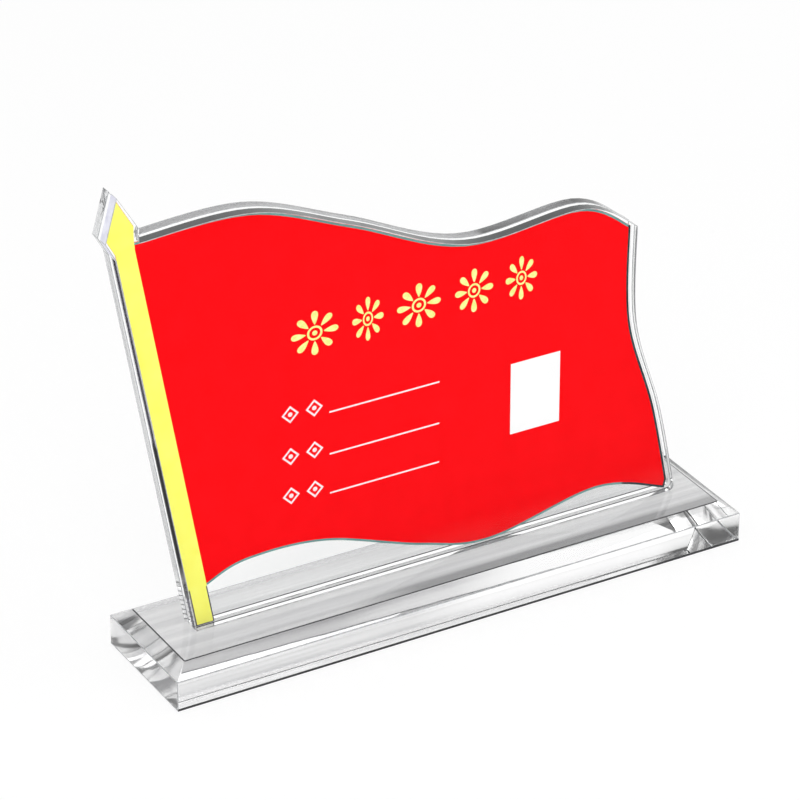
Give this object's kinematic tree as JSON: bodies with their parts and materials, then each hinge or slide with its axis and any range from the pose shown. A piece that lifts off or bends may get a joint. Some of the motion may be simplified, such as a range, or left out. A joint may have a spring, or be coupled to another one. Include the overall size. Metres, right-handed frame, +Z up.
{
  "type": "table sign",
  "caption": "Clear desk sign shaped as a waving flag on a spearheaded pole, on a bevelled slab base, with a printed insert that slides up from between its plates.",
  "frame": {"origin": "centre of the base's underside", "axes": "+X along the sign to the right as its front is seen, away from the pole; -Y is the front, with the print; +Z up"},
  "size_m": [0.2359, 0.05, 0.1839],
  "materials": {
    "clear_acrylic": "polished clear",
    "glue": "clear",
    "white_card": "matt",
    "red_film": "satin",
    "yellow_film": "satin",
    "photo_paper": "matt"
  },
  "bodies": {
    "stand": {"base": "clear_acrylic", "front_plate": "clear_acrylic", "back_plate": "clear_acrylic", "front_plate_glue": "glue", "back_plate_glue": "glue"},
    "insert": {"insert_card": "white_card", "flag_film": "red_film", "pole_film": "yellow_film", "photo_patch": "photo_paper"}
  },
  "joints": [
    {"name": "insert_slide", "type": "slide", "parent": "stand", "child": "insert", "axis": [0, 0, 1], "range_m": [0, 0.17]}
  ]
}
